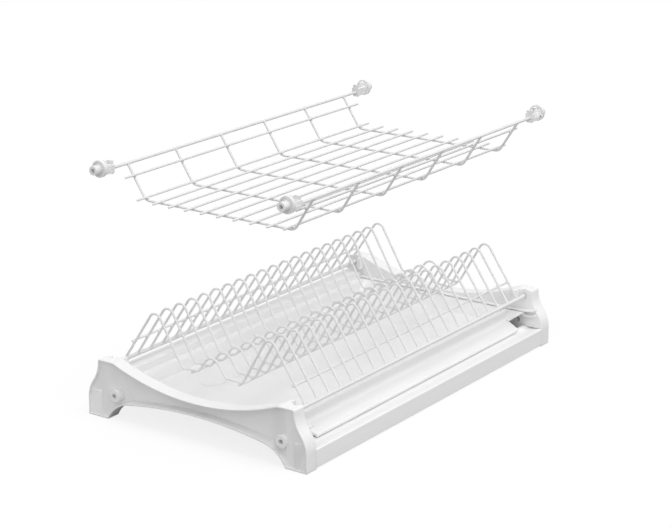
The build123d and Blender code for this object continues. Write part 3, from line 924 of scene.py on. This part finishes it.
@dataclass
class EndFittings:
    """The four nylon fittings and their clip jaws. Sizes in millimetres.

    A collar stands collar_gap inside half_width, and a nose runs on from it to nose_tip. The
    collar is dished by dish_depth inside its rim, and a core leaves a blind hole in the nose.
    Both cuts start cut_beyond outside the surface.
    """

    edge: float = 0.3
    half_width: float = 232.0
    collar_gap: float = 0.5
    nose_tip: float = 240.0
    nose_diameter: float = 9.4
    nose_height: float = 265.6
    collar_diameter: float = 17.6
    dish_rim: float = 1.5
    dish_depth: float = 0.9
    core_diameter: float = 4.6
    core_depth: float = 9.0
    core_draft: float = 0.5
    cut_beyond: float = 1.0
    round_sides: int = 48

    def revolved(self, side: float, depth: float,
                 outline: Sequence[tuple[float, float]]) -> np.ndarray:
        """Carries an outline round the nose: x along it and r * (cos(a), sin(a)) across it.

        Args:
            side: -1 for the left end and 1 for the right.
            depth: the fitting's place along Y.
            outline: pairs of x and r.

        Returns:
            An array of outline points by points round by 3, in metres.
        """
        turn = np.linspace(0, 2 * math.pi, self.round_sides, endpoint=False)[None, :]
        x, r = np.array(outline).T[:, :, None]
        across = (depth + r * np.cos(turn), self.nose_height + r * np.sin(turn))
        return np.stack([side * x * np.ones_like(turn), *across], axis=-1) * MM

    def cores(self, side: float, depth: float) -> bpy.types.Object:
        """The moulding cores of one fitting: a dish in the collar and a blind hole in the nose.

        Each is a solid of revolution about the nose. The dish goes round the nose, so that its
        ring closes on itself, and the hole tapers by its draft.

        Args:
            side: -1 for the left end and 1 for the right.
            depth: the fitting's place along Y.

        Returns:
            Both as one closed object.
        """
        surface = Surface()
        mouth, bottom = self.nose_tip + self.cut_beyond, self.nose_tip - self.core_depth
        hole = [(mouth, self.core_diameter / 2), (bottom, self.core_diameter / 2 - self.core_draft)]
        poles = [np.array([side * x, depth, self.nose_height]) * MM for x in (mouth, bottom)]
        surface.add_closed_tube(self.revolved(side, depth, hole), *poles)
        face = self.half_width - self.collar_gap
        inner, outer = self.nose_diameter / 2, self.collar_diameter / 2 - self.dish_rim
        above, floor = face + self.cut_beyond, face - self.dish_depth
        dish = [(above, inner), (above, outer), (floor, outer), (floor, inner)]
        surface.add_closed_ring(self.revolved(side, depth, dish).swapaxes(0, 1))
        return surface.build("fitting_cores")

    def build(self, finish: bpy.types.Material) -> None:
        """Makes the fittings and jaws.

        Args:
            finish: the nylon.
        """
        for side, sign in (("left", -1.0), ("right", 1.0)):
            for place in ("front", "rear"):
                body = f"{side}_{place}_end"
                node = f"{side}_{place}_fitting"
                cores = self.cores(sign, depth_and_height(node)[0] / MM)
                moulding = softened_copy(node, f"{node}_moulding", self.edge, cores)
                dress(moulding, finish, body)
                node = f"{side}_{place}_clip_jaw"
                moulding = softened_copy(node, f"{node}_moulding", self.edge)
                dress(moulding, finish, body)


# Studio


@dataclass
class Studio:
    """Camera, floor, world and lamps. Lengths are in metres and angles in degrees.

    A level is what a light adds to the brightness of white paper that faces it. The floor is
    paper to the lamps and paper_seen to the camera, which also sees it glow by paper_glow.
    """

    camera_place: tuple[float, float, float] = (-1.6807, -1.2148, 0.7734)
    yaw: float = 54.338
    pitch: float = 17.271
    roll: float = -0.27
    focal_pixels: float = 2029.5
    sensor_width: float = 36.0
    view_start: float = 0.05
    view_end: float = 60.0
    floor_half: float = 9.0
    paper: str = "AEAEAE"
    paper_seen: str = "F6F6F6"
    paper_glow: float = 0.82
    sky_level: float = 0.58
    lamp_level: float = 0.48
    lamp_tilt: float = 24.0
    lamp_spread: float = 40.0
    fill_level: float = 0.18
    fill_from: tuple[float, float, float] = (-0.78, -0.36, 0.51)
    fill_spread: float = 50.0

    def build(self) -> None:
        """Makes the camera, the floor, the world and the lamps."""
        self.camera()
        self.floor()
        self.world()
        self.lamps()
        bpy.context.scene.view_settings.view_transform = "Standard"

    def camera(self) -> None:
        """Makes the camera at the photograph's viewpoint."""
        yaw, pitch, roll = (math.radians(a) for a in (self.yaw, self.pitch, self.roll))
        level = math.cos(pitch)
        forward = Vector((math.sin(yaw) * level, math.cos(yaw) * level, -math.sin(pitch)))
        right = Vector((math.cos(yaw), -math.sin(yaw), 0.0))
        up = right.cross(forward)
        across = math.cos(roll) * right + math.sin(roll) * up
        upward = -math.sin(roll) * right + math.cos(roll) * up
        data = bpy.data.cameras.new("camera")
        data.sensor_fit = "HORIZONTAL"
        data.sensor_width = self.sensor_width
        data.lens = self.focal_pixels * self.sensor_width / PHOTO_WIDTH
        data.clip_start = self.view_start
        data.clip_end = self.view_end
        camera = link_object("camera", data)
        stand = Matrix((across, upward, -forward)).transposed().to_4x4()
        stand.translation = self.camera_place
        camera.matrix_world = stand
        bpy.context.scene.camera = camera

    def floor(self) -> None:
        """Makes a plain white floor that keeps a faint shadow."""
        h = self.floor_half
        mesh = bpy.data.meshes.new("floor")
        mesh.from_pydata([(-h, -h, 0), (h, -h, 0), (h, h, 0), (-h, h, 0)], [], [(0, 1, 2, 3)])
        floor = link_object("floor", mesh)
        material = bpy.data.materials.new("white_paper_sweep")
        material.use_nodes = True
        tree = material.node_tree
        tree.nodes.clear()
        path = add_node(tree, "ShaderNodeLightPath", {}, {}).outputs["Is Camera Ray"]
        colour = add_node(
            tree, "ShaderNodeMix",
            {"data_type": "RGBA", MIX_A: linear(self.paper), MIX_B: linear(self.paper_seen)},
            {"Factor": path}).outputs[MIX_RESULT]
        paper = add_node(tree, "ShaderNodeBsdfDiffuse", {}, {"Color": colour}).outputs[0]
        glow = add_node(
            tree, "ShaderNodeEmission", {"Color": (1, 1, 1, 1), "Strength": 1.0}, {}).outputs[0]
        share = add_node(
            tree, "ShaderNodeMath", {"operation": "MULTIPLY", 1: self.paper_glow},
            {0: path}).outputs[0]
        mix = add_node(tree, "ShaderNodeMixShader", {}, {0: share, 1: paper, 2: glow}).outputs[0]
        add_node(tree, "ShaderNodeOutputMaterial", {}, {"Surface": mix})
        floor.data.materials.append(material)

    def world(self) -> None:
        """Makes a soft even sky that is white to the camera, glossy and transmission rays."""
        world = bpy.data.worlds.new("soft_tent")
        bpy.context.scene.world = world
        world.use_nodes = True
        tree = world.node_tree
        tree.nodes.clear()
        path = add_node(tree, "ShaderNodeLightPath", {}, {})
        seen = path.outputs["Is Camera Ray"]
        for ray in ("Is Glossy Ray", "Is Transmission Ray"):
            seen = add_node(
                tree, "ShaderNodeMath", {"operation": "MAXIMUM"},
                {0: seen, 1: path.outputs[ray]}).outputs[0]
        level = add_node(
            tree, "ShaderNodeMapRange",
            {"From Min": 0.0, "From Max": 1.0, "To Min": self.sky_level, "To Max": 1.0},
            {"Value": seen}).outputs[0]
        sky = add_node(
            tree, "ShaderNodeBackground", {"Color": (1, 1, 1, 1)}, {"Strength": level}).outputs[0]
        add_node(tree, "ShaderNodeOutputWorld", {}, {"Surface": sky})

    def lamps(self) -> None:
        """Makes one broad overhead lamp, tilted to the front, and a weak wide fill on the left."""
        tilt = math.radians(self.lamp_tilt)
        overhead = (0, -math.sin(tilt), math.cos(tilt))
        self.softbox("overhead_softbox", self.lamp_level, self.lamp_spread, overhead)
        self.softbox("left_reflector", self.fill_level, self.fill_spread, self.fill_from)

    def softbox(self, name: str, level: float, spread: float, place: Sequence[float]) -> None:
        """Makes a distant lamp with soft shadows.

        Args:
            name: the lamp's name.
            level: how bright it is.
            spread: how wide it looks from the object.
            place: the direction in which it stands.
        """
        data = bpy.data.lights.new(name, "SUN")
        data.energy = math.pi * level
        data.angle = math.radians(spread)
        lamp = link_object(name, data)
        lamp.matrix_world = Vector(place).to_track_quat("Z", "Y").to_matrix().to_4x4()
        log.info("%s stands towards %s", name, tuple(place))


def main() -> None:
    """Builds the sub-assemblies in order."""
    Studio().build()
    wire = DIPPED_VINYL.build()
    LowerUnit().build(
        MOULDED_POLYPROPYLENE.build(), EXTRUDED_PVC.build(), MOULDED_POLYSTYRENE.build())
    PlateRack().build(wire)
    GlassRack().build(wire)
    EndFittings().build(MOULDED_NYLON.build())


if __name__ == "__main__":
    main()
